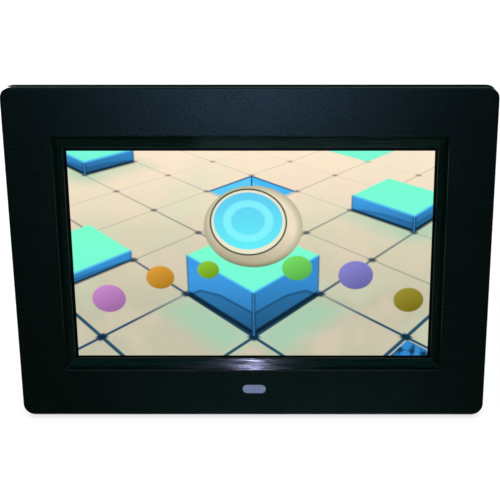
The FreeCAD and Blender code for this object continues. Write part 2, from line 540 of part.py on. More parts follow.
# key board with its switches; caps and plungers are separate moving pieces
kb = box(-49.5, 49.5, 15.5, 16.7, 114.4, 126.8)
kb = cut(kb, *[cy(x, z, 1.2, 15, 17) for x, z in KEY_POSTS])
node("key_board", one(kb))
sw = []
for x in BUTTON_XS:
    b = box(x - 2.6, x + 2.6, 16.72, 19.0, BUTTON_Z - 2.6, BUTTON_Z + 2.6)
    b = fuse(b, *[box(x + dx - 0.4, x + dx + 0.4, 16.72, 17.1, BUTTON_Z - 3.5, BUTTON_Z + 3.5) for dx in (-1.9, 1.9)])
    sw.append(one(cut(b, cy(x, BUTTON_Z, 1.25, 17.3, 20))))
node("key_switches", *sw)
for x, name in zip(BUTTON_XS, BUTTON_NAMES):
    cap = pill(x, BUTTON_Z, 8.9, 5.1, 20.7, 24.3)
    cap = round_edges(cap, 0.55, in_plane_y(24.3))
    fl = pill(x, BUTTON_Z, 11.0, 7.2, 20.5, 21.2)
    stem = cy(x, BUTTON_Z, 1.4, 19.96, 20.6)
    node("button_" + name, one(fuse(cap, fl, stem)))
    pl = cy(x, BUTTON_Z, 1.15, 18.2, 19.9)
    node("plunger_" + name, round_edges(pl, 0.25, in_plane_y(19.9)))

# flat ribbon from the key board to the main board
rib = box(28.0, 37.0, 15.20, 15.48, 82.9, 118.0)
node("key_ribbon", rib)

# --------------------------------------------------------------- loudspeakers
baskets, cones, magnets = [], [], []
for x, z in SPEAKERS:
    b = pill(x, z, 30.6, 20.6, 18.9, 21.2)
    b = fuse(b, cy(x, z, 8.2, 17.2, 19.0))
    well = Part.makeCone(3.4, 8.9, 3.0, V(x, 18.25, z), V(0, 1, 0))
    b = cut(b, well)
    baskets.append(one(b))
    c = Part.makeCone(3.35, 8.60, 2.9, V(x, 18.3, z), V(0, 1, 0))
    c = cut(c, Part.makeCone(3.0, 8.3, 2.9, V(x, 18.65, z), V(0, 1, 0)).common(cy(x, z, 12, 18.65, 21.6)))
    cap_ = Part.makeSphere(2.6, V(x, 17.6, z)).common(cy(x, z, 2.9, 18.5, 21))
    cones.append(one(fuse(c, cap_)))
    magnets.append(round_edges(cy(x, z, 7.0, 14.4, 17.18), 0.4, in_plane_y(14.4)))
node("speaker_baskets", *baskets)
node("speaker_cones", *cones)
node("speaker_magnets", *magnets)

# leads: speakers and receiver board to the main board's plugs
leads = []
for s, (px, pz) in ((-1, (-36.0, 44.36)), (1, (35.0, 44.36))):
    for k in (-0.9, 0.9):
        leads.append(tube([(s * 38.6 + k, 18.6, 32.4), (s * 38.6 + k, 16.2, 34.6), (px + k, 16.1, 40.8), (px + k, 16.1, pz)], 0.45, 1.6))
node("speaker_leads", *leads)
rl = []
for k in (-1.3, 0.0, 1.3):
    rl.append(tube([(EYE_X + 7.0 + k, 8.72, 15.4), (EYE_X + 7.0 + k, 11.4, 17.0), (24.5 + k, 12.6, 27.0), (24.5 + k, 16.1, 37.5), (24.5 + k, 16.1, 44.36)], 0.45, 3.0))
node("receiver_leads", *rl)

# ------------------------------------------------------------------- fasteners
node("case_screws", *[screw(x, z, 11.85, 2.35, 1.5, 1.0, 6.4, 1) for x, z in CASE_SCREWS])
small = [screw(x, z, 10.75, 1.55, 1.0, 0.75, 5.2, 1) for x, z in CLIP_POSTS]
small += [screw(x, z, 9.34, 1.5, 1.0, 0.75, 4.4, 1) for x, z in EYE_POSTS]
small += [screw(x, z, 11.58, 1.6, 1.0, 0.75, 5.2, -1) for x, z in BOARD_POSTS]
small += [screw(x, z, 14.48, 1.6, 1.0, 0.75, 4.6, -1) for x, z in KEY_POSTS]
node("inner_screws", *small)

# --------------------------------------------------------------- stand, folded
leg = poly_xz([(-LEG_TOP_HW, HINGE_Z), (LEG_TOP_HW, HINGE_Z), (LEG_TOP_HW, 90), (LEG_TIP_HW, LEG_TIP_Z), (-LEG_TIP_HW, LEG_TIP_Z), (-LEG_TOP_HW, 90)],
              LEG_Y0, LEG_Y1)
leg = round_edges(leg, 3.0, lambda e: e.BoundBox.YMax - e.BoundBox.YMin > 3 and e.BoundBox.ZMax < LEG_TIP_Z + 0.01)
# a shallow panel on the back and a stiffened, hollowed inner side
leg = cut(leg, poly_xz([(-LEG_TOP_HW + 4, 84), (LEG_TOP_HW - 4, 84), (LEG_TIP_HW - 4, 16), (-LEG_TIP_HW + 4, 16)], LEG_Y1 - 0.5, LEG_Y1 + 1))
pan = poly_xz([(-LEG_TOP_HW + 2.2, 88), (LEG_TOP_HW - 2.2, 88), (LEG_TIP_HW - 2.2, 10), (-LEG_TIP_HW + 2.2, 10)], LEG_Y0 - 1, LEG_Y0 + 1.5)
pan = cut(pan, box(-0.7, 0.7, 0, 30, 0, 100), *[box(-20, 20, 0, 30, z - 0.7, z + 0.7) for z in (29.5, 49.0, 68.5)])
leg = cut(leg, pan)
barrel = cx(HINGE_Y, HINGE_Z, KNUCKLE_R, -19.4, 19.4)
lug_h = (HINGE_Y - HINGE_FLOOR - 0.03 - 1.0 * math.cos(math.radians(LEG_OPEN_DEG))) / math.sin(math.radians(LEG_OPEN_DEG))
lug = box(-14.0, 14.0, HINGE_Y - 1.0, HINGE_Y + KNUCKLE_R, HINGE_Z, HINGE_Z + lug_h)
lug = round_edges(lug, 1.0, lambda e: e.BoundBox.XMax - e.BoundBox.XMin > 20 and e.BoundBox.ZMin > HINGE_Z + 1 and e.BoundBox.YMin > HINGE_Y + 1)
leg = fuse(leg, barrel, lug)
leg = cut(leg, cx(HINGE_Y, HINGE_Z, KNUCKLE_BORE_R, -30, 30))
leg = one(leg)
pin = cx(HINGE_Y, HINGE_Z, PIN_R, -24.2, 23.6)
pin = bevel_edges(pin, 0.3, lambda e: e.BoundBox.XMax - e.BoundBox.XMin < 1e-4)
node("hinge_pin", pin)

swing = Placement(V(0, 0, 0), Rotation(V(1, 0, 0), LEG_OPEN_DEG), V(0, HINGE_Y, HINGE_Z))
leg_open = leg.copy()
leg_open.transformShape(swing.toMatrix(), True)

# rubber foot: a shoe round the leg's tip, with its sole on the floor line
shoe = poly_xz([(-LEG_TIP_HW - 0.9, 12.5), (LEG_TIP_HW + 0.9, 12.5), (LEG_TIP_HW + 0.9, 0.0), (-LEG_TIP_HW - 0.9, 0.0)], LEG_Y0 - 0.9, LEG_Y1 + 0.9)
shoe = round_edges(shoe, 1.6, lambda e: e.BoundBox.ZMax - e.BoundBox.ZMin > 5)
core = poly_xz([(-LEG_TIP_HW - 0.32, 13.0), (LEG_TIP_HW + 0.32, 13.0), (LEG_TIP_HW - 0.02, LEG_TIP_Z), (-LEG_TIP_HW + 0.02, LEG_TIP_Z)], LEG_Y0, LEG_Y1)
shoe_open = shoe.copy()
shoe_open.transformShape(swing.toMatrix(), True)
below = poly_yz([(0, floor_z(0)), (140, floor_z(140)), (140, -60), (0, -60)], -40, 40)
hull_leg = poly_xz([(-LEG_TOP_HW, 90), (LEG_TOP_HW, 90), (LEG_TIP_HW, LEG_TIP_Z), (-LEG_TIP_HW, LEG_TIP_Z)], LEG_Y0, LEG_Y1)
hull_leg = round_edges(hull_leg, 3.0, lambda e: e.BoundBox.YMax - e.BoundBox.YMin > 3 and e.BoundBox.ZMax < LEG_TIP_Z + 0.01)
hull_open = hull_leg.copy()
hull_open.transformShape(swing.toMatrix(), True)
shoe_open = one(shoe_open.cut(below).cut(hull_open))
node("stand_leg", leg_open)
node("stand_foot", shoe_open)

# ------------------------------------------------------- lean back and export
MOVERS = {"leg": ["stand_leg", "stand_foot"]}
lean = Placement(V(0, 0, 0), Rotation(V(1, 0, 0), -LEAN_DEG))
ca, sa = math.cos(math.radians(LEAN_DEG)), math.sin(math.radians(LEAN_DEG))
lift = -GROUND_C * ca          # the floor line becomes z = 0
placed = {}
for name, solids in NODES.items():
    out = []
    for s in solids:
        c = s.copy()
        c.transformShape(lean.toMatrix(), True)
        out.append(c)
    placed[name] = out
ymin = min(s.BoundBox.YMin for ss in placed.values() for s in ss)
# optimal boxes, so that curved faces don't pad the centre
def tight(s):
    return s.optimalBoundingBox(False, False)


ymin = min(tight(s).YMin for ss in placed.values() for s in ss)
ymax = max(tight(s).YMax for ss in placed.values() for s in ss)
shift = V(0, -(ymin + ymax) / 2.0, lift)
os.makedirs("parts", exist_ok=True)
for old in os.listdir("parts"):
    if old.endswith(".step"):
        os.remove(os.path.join("parts", old))
bad = []
for name, solids in placed.items():
    final = []
    for s in solids:
        s.translate(shift)
        if not s.isValid() or s.Volume <= 0:
            bad.append(name)
        final.append(s)
    shape = final[0] if len(final) == 1 else Part.makeCompound(final)
    shape.exportStep(os.path.join("parts", name + ".step"))


def to_row(x, y, z):
    return [round(x, 4), round(y * ca + z * sa + shift.y, 4), round(-y * sa + z * ca + shift.z, 4)]


print(json.dumps({
    "nodes": len(placed), "bad": bad, "shift_mm": [round(shift.x, 4), round(shift.y, 4), round(shift.z, 4)],
    "y_range": [round(ymin, 3), round(ymax, 3)],
    "hinge_mm": to_row(0, HINGE_Y, HINGE_Z),
    "back_dir": [0, round(ca, 6), round(-sa, 6)], "up_dir": [0, round(sa, 6), round(ca, 6)],
    "lug_h": round(lug_h, 3),
    "headphone_mouth_mm": to_row(-75.4, JACK_HP_Y, JACK_HP_Z),
    "power_pin_tip_mm": to_row(-72.4, JACK_DC_Y, JACK_DC_Z),
    "keyholes_mm": [to_row(x, HUMP_Y, z) for x, z in KEYHOLES],
    "pad_sole_mm": [to_row(x, 8.25, floor_z(8.25)) for x in (-72.0, 72.0)],
    "screen_centre_mm": to_row(SX, 3.58, SZ),
    "face_centre_mm": to_row(0, 0, ZC),
    "zmin": round(min(tight(s).ZMin for ss in placed.values() for s in ss), 4),
    "zmin_foot": round(min(tight(s).ZMin for s in placed["stand_foot"]), 4),
}))
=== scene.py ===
import json
import math

import bmesh
import bpy
from mathutils import Matrix, Vector

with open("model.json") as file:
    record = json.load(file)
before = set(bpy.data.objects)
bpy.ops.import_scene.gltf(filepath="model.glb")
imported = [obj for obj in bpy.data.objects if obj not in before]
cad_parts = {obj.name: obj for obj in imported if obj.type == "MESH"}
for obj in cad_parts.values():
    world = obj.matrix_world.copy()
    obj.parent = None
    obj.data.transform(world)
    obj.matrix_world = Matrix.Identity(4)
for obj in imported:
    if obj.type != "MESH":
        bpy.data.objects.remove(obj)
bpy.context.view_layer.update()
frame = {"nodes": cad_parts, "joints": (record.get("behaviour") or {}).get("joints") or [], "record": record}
NODES = frame["nodes"]
RECORD = frame["record"]

# ------------------------------------------------------------------ axes
# The frame is drawn upright (x right, y back, z up, face at y = 0, lower edge
# at z = 0, millimetres) and leans back about X. The hinge pin's place ties the
# two sets of axes together.
LEAN = math.radians(15.0)
HINGE_UP = Vector((0.0, 19.8, 97.0))
TURN = Matrix.Rotation(-LEAN, 3, "X")
hinge = next(j for j in frame["joints"] if j["name"] == "stand_hinge")
SHIFT = Vector(hinge["pos_m"]) * 1000.0 - TURN @ HINGE_UP

FRAME_W, FRAME_H = 202.0, 145.2
ZC = FRAME_H / 2
SX, SZ = 0.1, ZC - 0.1
BX, BZ, BEV_W, BEV_H, BEV_STEP, BEV_D = 0.15, ZC + 0.57, 162.5, 103.8, 0.45, 2.55
WX, WZ, WIN_W, WIN_H = 0.05, ZC + 0.27, 154.4, 93.4
AA_W, AA_H = 152.4, 91.4
HUMP_Y = 23.5


def row(x, y, z):
    """Upright millimetres to the row frame's metres."""
    return (TURN @ Vector((x, y, z)) + SHIFT) / 1000.0


def lin(r, g, b):
    def f(c):
        c = c / 255.0
        return c / 12.92 if c <= 0.04045 else ((c + 0.055) / 1.055) ** 2.4
    return (f(r), f(g), f(b), 1.0)


# ------------------------------------------------------------------ node kit
class Tree:
    """A material and short calls that add nodes to it."""

    def __init__(self, name):
        self.mat = bpy.data.materials.new(name)
        self.mat.use_nodes = True
        self.t = self.mat.node_tree
        self.t.nodes.clear()
        self.out = self.t.nodes.new("ShaderNodeOutputMaterial")
        self._obj = None
        self._up = None

    def put(self, socket, v):
        if hasattr(v, "is_linked"):
            self.t.links.new(v, socket)
        elif v is not None:
            socket.default_value = v

    def node(self, kind, **props):
        n = self.t.nodes.new(kind)
        for k, v in props.items():
            setattr(n, k, v)
        return n

    def m(self, op, a, b=None, c=None, clamp=False):
        n = self.node("ShaderNodeMath", operation=op, use_clamp=clamp)
        self.put(n.inputs[0], a)
        self.put(n.inputs[1], b)
        self.put(n.inputs[2], c)
        return n.outputs[0]

    def vm(self, op, a, b=None, out=0):
        n = self.node("ShaderNodeVectorMath", operation=op)
        self.put(n.inputs[0], a)
        self.put(n.inputs[1], b)
        return n.outputs["Value"] if op in ("DOT_PRODUCT", "LENGTH", "DISTANCE") else n.outputs[out]

    def mix(self, f, a, b, mode="MIX"):
        n = self.node("ShaderNodeMix", data_type="RGBA", blend_type=mode, clamp_factor=True)
        self.put(n.inputs[0], f)
        self.put(n.inputs[6], a)
        self.put(n.inputs[7], b)
        return n.outputs[2]

    def lerp(self, f, a, b):
        n = self.node("ShaderNodeMapRange", clamp=True)
        self.put(n.inputs[0], f)
        n.inputs[1].default_value, n.inputs[2].default_value = 0.0, 1.0
        self.put(n.inputs[3], a)
        self.put(n.inputs[4], b)
        return n.outputs[0]

    def ranged(self, v, a, b, c=0.0, d=1.0):
        n = self.node("ShaderNodeMapRange", clamp=True)
        self.put(n.inputs[0], v)
        n.inputs[1].default_value, n.inputs[2].default_value = a, b
        n.inputs[3].default_value, n.inputs[4].default_value = c, d
        return n.outputs[0]

    @property
    def obj(self):
        """Row frame position in metres, riding with the piece."""
        if self._obj is None:
            self._obj = self.node("ShaderNodeTexCoord").outputs["Object"]
        return self._obj

    @property
    def up(self):
        """Upright position in millimetres."""
        if self._up is None:
            n = self.node("ShaderNodeMapping", vector_type="POINT")
            self.put(n.inputs["Vector"], self.obj)
            n.inputs["Scale"].default_value = (1000.0, 1000.0, 1000.0)
            n.inputs["Rotation"].default_value = (LEAN, 0.0, 0.0)
            n.inputs["Location"].default_value = -(TURN.transposed() @ SHIFT)
            self._up = n.outputs[0]
        return self._up

    def xyz(self, v=None):
        n = self.node("ShaderNodeSeparateXYZ")
        self.put(n.inputs[0], self.up if v is None else v)
        return n.outputs[0], n.outputs[1], n.outputs[2]

    def vec(self, x, y, z):
        n = self.node("ShaderNodeCombineXYZ")
        self.put(n.inputs[0], x)
        self.put(n.inputs[1], y)
        self.put(n.inputs[2], z)
        return n.outputs[0]

    def noise(self, scale, detail=2.0, rough=0.5, v=None, distort=0.0, col=False):
        n = self.node("ShaderNodeTexNoise")
        self.put(n.inputs["Vector"], self.up if v is None else v)
        n.inputs["Scale"].default_value = scale
        n.inputs["Detail"].default_value = detail
        n.inputs["Roughness"].default_value = rough
        n.inputs["Distortion"].default_value = distort
        return n.outputs["Color" if col else "Fac"]

    def voronoi(self, scale, v=None, feature="F1", out="Distance"):
        n = self.node("ShaderNodeTexVoronoi", feature=feature)
        self.put(n.inputs["Vector"], self.up if v is None else v)
        n.inputs["Scale"].default_value = scale
        return n.outputs[out]

    def scaled(self, sx, sy, sz, v=None):
        n = self.node("ShaderNodeMapping", vector_type="POINT")
        self.put(n.inputs["Vector"], self.up if v is None else v)
        n.inputs["Scale"].default_value = (sx, sy, sz)
        return n.outputs[0]

    def bump(self, h, strength, dist, normal=None):
        n = self.node("ShaderNodeBump")
        n.inputs["Strength"].default_value = strength
        n.inputs["Distance"].default_value = dist
        self.put(n.inputs["Height"], h)
        if normal is not None:
            self.put(n.inputs["Normal"], normal)
        return n.outputs[0]

    def shader(self, **kw):
        n = self.node("ShaderNodeBsdfPrincipled")
        names = {
            "base": "Base Color", "rough": "Roughness", "metal": "Metallic", "spec": "Specular IOR Level",
            "normal": "Normal", "coat": "Coat Weight", "coat_rough": "Coat Roughness", "ior": "IOR",
            "emit": "Emission Color", "emit_s": "Emission Strength", "trans": "Transmission Weight",
            "sss": "Subsurface Weight", "aniso": "Anisotropic", "alpha": "Alpha", "tint": "Specular Tint",
        }
        for k, v in kw.items():
            self.put(n.inputs[names[k]], v)
        self.t.links.new(n.outputs[0], self.out.inputs[0])
        return n


# ------------------------------------------------------------------ materials
MATS = {}


def moulded(slot, dark, light, rough, grain, depth, spec=0.2, wear=None, wear_to=None):
    """Textured moulded plastic or rubber: spark-eroded grain, faint flow
    mottling and a little dust."""
    t = Tree(slot)
    g1 = t.noise(grain, 3.0, 0.65)
    g2 = t.voronoi(grain * 0.7)
    mott = t.noise(0.045, 3.0, 0.6)
    dust = t.noise(1.9, 4.0, 0.75)
    col = t.mix(t.ranged(mott, 0.3, 0.7), dark, light)
    col = t.mix(t.ranged(dust, 0.60, 0.80, 0.0, 0.12), col, lin(70, 76, 78))
    r = t.m("ADD", t.ranged(mott, 0.3, 0.7, rough - 0.03, rough + 0.03), t.ranged(g1, 0.3, 0.7, -0.04, 0.04))
    h = t.m("ADD", g1, t.m("MULTIPLY", g2, 0.5))
    n = t.bump(h, 0.55, depth / 1000.0)
    t.shader(base=col, rough=r, spec=spec, normal=n)
    MATS[slot] = t.mat
    return t


# front shell: the wide border is fine textured; the bevel is smoother and has
# fine lines that run along each side and meet at the mitres
def front_shell():
    t = Tree("front_shell")
    x, y, z = t.xyz()
    ex = t.m("SUBTRACT", BEV_W / 2, t.m("ABSOLUTE", t.m("SUBTRACT", x, BX)))
    ez = t.m("SUBTRACT", BEV_H / 2, t.m("ABSOLUTE", t.m("SUBTRACT", z, BZ)))
    inside = t.m("MULTIPLY", t.m("GREATER_THAN", ex, 0.0), t.m("GREATER_THAN", ez, 0.0))
    front = t.m("LESS_THAN", y, 4.2)
    bev = t.m("MULTIPLY", inside, front)
    side = t.m("LESS_THAN", t.m("MULTIPLY", ex, 1.32), ez)
    # lines along x on the upper and lower bevels, along z on the side ones
    lines_h = t.noise(1.0, 3.0, 0.7, v=t.scaled(0.05, 0.0, 1.5))
    lines_v = t.noise(1.0, 3.0, 0.7, v=t.scaled(1.5, 0.0, 0.05))
    lines = t.lerp(side, lines_h, lines_v)
    mott = t.noise(0.05, 3.0, 0.6)
    grain = t.noise(2.6, 3.0, 0.65)
    pits = t.voronoi(1.9)
    dust = t.noise(1.6, 4.0, 0.75)
    face = t.mix(t.ranged(mott, 0.3, 0.7), lin(1, 20, 13), lin(3, 24, 17))
    face = t.mix(t.ranged(dust, 0.62, 0.82, 0.0, 0.10), face, lin(24, 50, 46))
    bevc = t.mix(t.ranged(lines, 0.35, 0.7), lin(4, 24, 17), lin(10, 36, 30))
    # painted highlight: lighter lines along the mitres of the two lower corners and along the inner lip
    seam = t.ranged(t.m("ABSOLUTE", t.m("SUBTRACT", t.m("MULTIPLY", ex, 1.32), ez)), 0.04, 0.26, 1.0, 0.0)
    seam = t.m("MULTIPLY", seam, t.ranged(z, BZ - 48.2, BZ - 49.6))
    lip = t.ranged(t.m("MAXIMUM", t.m("SUBTRACT", t.m("ABSOLUTE", t.m("SUBTRACT", x, WX)), WIN_W / 2), t.m("SUBTRACT", t.m("ABSOLUTE", t.m("SUBTRACT", z, WZ)), WIN_H / 2)), 0.05, 0.50, 1.0, 0.0)
    lip = t.m("MULTIPLY", t.m("MULTIPLY", lip, t.ranged(y, BEV_D - 0.5, BEV_D - 0.1)), t.ranged(y, BEV_D + 0.22, BEV_D + 0.06))
    painted_edge_highlight = t.m("MAXIMUM", t.m("MULTIPLY", seam, 0.34), t.m("MULTIPLY", lip, 0.10))
    # painted light: the lower bevel is given a lighter colour than the upper and side bevels
    low = t.m("MULTIPLY", t.m("SUBTRACT", 1.0, side), t.ranged(z, BZ - 46.0, BZ - 48.0))
    bevc = t.mix(low, bevc, t.mix(t.ranged(lines, 0.35, 0.7), lin(8, 35, 30), lin(18, 54, 50)))
    # painted shade: a dark band just inside the bevel's outer edge, fading out towards the lip
    in_from_bevel_edge = t.m("MINIMUM", ex, ez)
    bevc = t.mix(t.m("MULTIPLY", t.ranged(in_from_bevel_edge, 0.25, 0.5), t.ranged(in_from_bevel_edge, 1.1, 2.4, 0.65, 0.0)), bevc, lin(0, 6, 3))
    # painted highlight on the mitres and the inner lip
    bevc = t.mix(painted_edge_highlight, bevc, lin(96, 110, 112))
    # the short wall below the lip is in the dark
    bevc = t.mix(t.ranged(y, BEV_D + 0.12, BEV_D + 0.3), bevc, lin(1, 4, 4))
    col = t.mix(bev, face, bevc)
    fr = t.m("ADD", t.ranged(mott, 0.3, 0.7, 0.235, 0.265), t.ranged(grain, 0.3, 0.7, -0.03, 0.03))
    br = t.m("ADD", 0.055, t.m("MULTIPLY", t.m("POWER", t.ranged(lines, 0.25, 0.72), 2.0), 0.26))
    hide = t.noise(1.05, 2.0, 0.6)
    fr = t.m("ADD", fr, t.ranged(hide, 0.3, 0.7, -0.028, 0.028))
    rough = t.lerp(bev, fr, br)
    rough = t.lerp(t.m("MULTIPLY", inside, t.ranged(y, BEV_D + 0.15, BEV_D + 0.3)), rough, 0.62)
    hf = t.m("ADD", t.m("MULTIPLY", hide, 1.5), t.m("ADD", t.m("MULTIPLY", grain, 0.8), t.m("MULTIPLY", pits, 0.3)))
    height = t.lerp(bev, t.m("MULTIPLY", hf, 0.050), t.m("MULTIPLY", lines, 0.013))
    # the outer walls are plain and smooth, and painted darker than the face: painted shade
    wall = t.m("MULTIPLY", t.ranged(y, 0.45, 0.9), t.m("SUBTRACT", 1.0, inside))
    col = t.mix(wall, col, t.mix(t.ranged(mott, 0.3, 0.7), lin(1, 7, 6), lin(3, 10, 10)))
    rough = t.lerp(wall, rough, t.ranged(grain, 0.3, 0.7, 0.10, 0.15))
    # painted highlight: the rounded upper edge is given a lighter colour, with its own roughness
    edge = t.m("MULTIPLY", t.ranged(z, FRAME_H - 1.3, FRAME_H - 0.9), t.ranged(y, 0.9, 0.7))
    col = t.mix(edge, col, lin(14, 44, 48))
    rough = t.lerp(edge, rough, 0.22)
    n = t.bump(height, 0.6, 0.001)
    t.shader(base=col, rough=rough, spec=0.5, normal=n)
    MATS["front_shell"] = t.mat


front_shell()

# rear shell: same resin, coarser grain
moulded("rear_shell", lin(17, 20, 21), lin(23, 26, 27), 0.52, 1.7, 0.030, spec=0.30)
moulded("socket_black", lin(22, 22, 23), lin(30, 30, 31), 0.42, 2.4, 0.012, spec=0.35)
moulded("plunger_black", lin(34, 34, 36), lin(42, 42, 44), 0.45, 2.4, 0.010, spec=0.35)
moulded("rubber_black", lin(24, 24, 25), lin(33, 33, 34), 0.74, 1.3, 0.035, spec=0.22)
moulded("chip_black", lin(24, 25, 27), lin(33, 34, 36), 0.55, 3.2, 0.010, spec=0.35)
moulded("sheet_clear", lin(16, 16, 18), lin(24, 24, 26), 0.30, 0.8, 0.006, spec=0.4)
moulded("film_white", lin(214, 215, 210), lin(230, 230, 226), 0.40, 0.9, 0.004, spec=0.4)
moulded("frame_white", lin(206, 206, 200), lin(224, 224, 219), 0.46, 1.8, 0.010, spec=0.4)
moulded("connector_white", lin(214, 208, 188), lin(228, 222, 204), 0.42, 2.0, 0.008, spec=0.4)
moulded("cone_paper", lin(26, 26, 27), lin(44, 43, 42), 0.82, 0.9, 0.030, spec=0.2)
moulded("wire_red", lin(132, 20, 16), lin(160, 30, 24), 0.36, 1.2, 0.006, spec=0.45)


def keys():
    t = Tree("key_black")
    mott = t.noise(0.3, 2.0, 0.5)
    grain = t.noise(5.0, 2.0, 0.6)
    col = t.mix(t.ranged(mott, 0.3, 0.7), lin(24, 25, 27), lin(34, 35, 38))
    t.shader(base=col, rough=t.ranged(grain, 0.3, 0.7, 0.20, 0.28), spec=0.45,
             normal=t.bump(grain, 0.25, 0.000006))
    MATS["key_black"] = t.mat


keys()


def metal(slot, col, rough, along=(0.06, 2.8, 2.8), depth=0.004, tarnish=None):
    t = Tree(slot)
    line = t.noise(1.0, 3.0, 0.65, v=t.scaled(*along))
    blot = t.noise(0.12, 3.0, 0.6)
    c = t.mix(t.ranged(line, 0.3, 0.7), [v * 0.86 for v in col[:3]] + [1.0], col)
    c = t.mix(t.ranged(blot, 0.5, 0.8, 0.0, 0.35), c, tarnish or [v * 0.62 for v in col[:3]] + [1.0])
    r = t.m("ADD", t.ranged(line, 0.3, 0.7, rough - 0.06, rough + 0.06), t.ranged(blot, 0.4, 0.8, 0.0, 0.10))
    t.shader(base=c, metal=1.0, rough=r, normal=t.bump(line, 0.4, depth / 1000.0))
    MATS[slot] = t.mat


metal("tin_steel", lin(206, 206, 200), 0.28)
metal("bezel_steel", lin(176, 178, 180), 0.36)
metal("aluminium_can", lin(214, 216, 218), 0.30, along=(2.0, 0.08, 2.0))
metal("pin_nickel", lin(220, 216, 206), 0.16, along=(0.1, 3.0, 3.0))
metal("hinge_steel", lin(210, 211, 212), 0.18, along=(0.05, 3.5, 3.5))
metal("screw_zinc", lin(208, 206, 190), 0.28, along=(1.5, 1.5, 1.5))
metal("magnet", lin(168, 170, 172), 0.34, along=(1.2, 0.2, 1.2))


def dull(slot, a, b, rough, metal_w, grain, depth, spec=0.4):
    t = Tree(slot)
    g = t.noise(grain, 3.0, 0.7)
    v = t.voronoi(grain * 1.3)
    c = t.mix(t.ranged(g, 0.3, 0.7), a, b)
    t.shader(base=c, metal=metal_w, rough=t.ranged(g, 0.3, 0.7, rough - 0.07, rough + 0.07), spec=spec,
             normal=t.bump(t.m("ADD", g, v), 0.5, depth / 1000.0))
    MATS[slot] = t.mat


dull("screw_black", lin(40, 40, 43), lin(62, 62, 66), 0.38, 0.85, 1.6, 0.008)
dull("ferrite", lin(44, 43, 45), lin(70, 69, 70), 0.62, 0.25, 1.1, 0.030)


def board():
    """Solder mask over traces: lanes on a 45 and 90 degree grid, pads, vias
    and a glass weave under it."""
    t = Tree("circuit_green")
    x, y, z = t.xyz()
    cell = t.voronoi(0.16, feature="F1", out="Color")
    cr = t.node("ShaderNodeSeparateColor")
    t.put(cr.inputs[0], cell)
    lane_x = t.m("ABSOLUTE", t.m("SUBTRACT", t.m("FRACT", t.m("MULTIPLY", x, 0.8)), 0.5))
    lane_z = t.m("ABSOLUTE", t.m("SUBTRACT", t.m("FRACT", t.m("MULTIPLY", z, 0.8)), 0.5))
    lane_d = t.m("ABSOLUTE", t.m("SUBTRACT", t.m("FRACT", t.m("MULTIPLY", t.m("ADD", x, z), 0.57)), 0.5))
    tx = t.m("MULTIPLY", t.m("LESS_THAN", lane_x, 0.16), t.m("LESS_THAN", cr.outputs[0], 0.38))
    tz = t.m("MULTIPLY", t.m("LESS_THAN", lane_z, 0.16), t.m("GREATER_THAN", cr.outputs[0], 0.62))
    td = t.m("MULTIPLY", t.m("LESS_THAN", lane_d, 0.14),
             t.m("MULTIPLY", t.m("GREATER_THAN", cr.outputs[0], 0.38), t.m("LESS_THAN", cr.outputs[0], 0.62)))
    trace = t.m("MAXIMUM", t.m("MAXIMUM", tx, tz), td)
    vias = t.m("LESS_THAN", t.voronoi(0.55), 0.22)
    weave = t.m("MULTIPLY", t.m("SINE", t.m("MULTIPLY", x, 9.0)), t.m("SINE", t.m("MULTIPLY", z, 9.0)))
    base = t.mix(t.ranged(weave, -1.0, 1.0), lin(14, 84, 42), lin(18, 94, 48))
    base = t.mix(trace, base, lin(34, 124, 66))
    base = t.mix(vias, base, lin(196, 190, 170))
    h = t.m("ADD", t.m("MULTIPLY", trace, 0.03), t.m("MULTIPLY", vias, 0.03))
    t.shader(base=base, rough=t.lerp(vias, 0.32, 0.24), metal=vias, spec=0.5, normal=t.bump(h, 0.7, 0.001))
    MATS["circuit_green"] = t.mat


board()


def flex():
    t = Tree("flex_amber")
    x, y, z = t.xyz()
    lane = t.m("ABSOLUTE", t.m("SUBTRACT", t.m("FRACT", t.m("MULTIPLY", x, 1.0)), 0.5))
    tr = t.ranged(lane, 0.20, 0.26, 1.0, 0.0)
    c = t.mix(tr, lin(168, 104, 30), lin(206, 140, 62))
    t.shader(base=c, rough=0.28, spec=0.5, normal=t.bump(tr, 0.5, 0.00002))
    MATS["flex_amber"] = t.mat


flex()


def acrylic():
    t = Tree("acrylic")
    x, y, z = t.xyz()
    dots = t.voronoi(0.9)
    d = t.ranged(dots, 0.22, 0.30, 1.0, 0.0)
    c = t.mix(d, lin(214, 224, 224), lin(248, 250, 250))
    t.shader(base=c, rough=t.lerp(d, 0.08, 0.55), spec=0.5, trans=0.35, normal=t.bump(d, 0.4, 0.00002))
    MATS["acrylic"] = t.mat


acrylic()


def window():
    """Smoky lilac window of the remote receiver: slightly cloudy, with a painted
    highlight over its upper part and painted shade round its rim."""
    t = Tree("receiver_window")
    x, y, z = t.xyz()
    cloud = t.noise(0.5, 3.0, 0.5)
    c = t.mix(t.ranged(cloud, 0.3, 0.7), lin(153, 167, 216), lin(169, 183, 230))
    rim = t.ranged(y, 0.05, -0.12, 0.0, 1.0)
    # painted highlight: the upper part of the window is lighter
    c = t.mix(t.m("MULTIPLY", t.ranged(z, 12.2, 14.2, 0.0, 1.0), 0.55), c, lin(176, 184, 206))
    # painted shade: a dark band round the window's rim
    out = t.m("MAXIMUM", t.m("SUBTRACT", t.m("ABSOLUTE", t.m("SUBTRACT", x, 0.6)), 3.15), 0.0)
    up = t.m("SUBTRACT", z, 12.56)
    far = t.m("SQRT", t.m("ADD", t.m("MULTIPLY", out, out), t.m("MULTIPLY", up, up)))
    c = t.mix(t.ranged(far, 1.80, 2.04), c, lin(8, 22, 26))
    t.shader(base=c, rough=t.ranged(cloud, 0.3, 0.7, 0.20, 0.28), spec=0.5, coat=0.4, coat_rough=0.08,
             normal=t.bump(cloud, 0.2, 0.00002))
    MATS["receiver_window"] = t.mat


window()


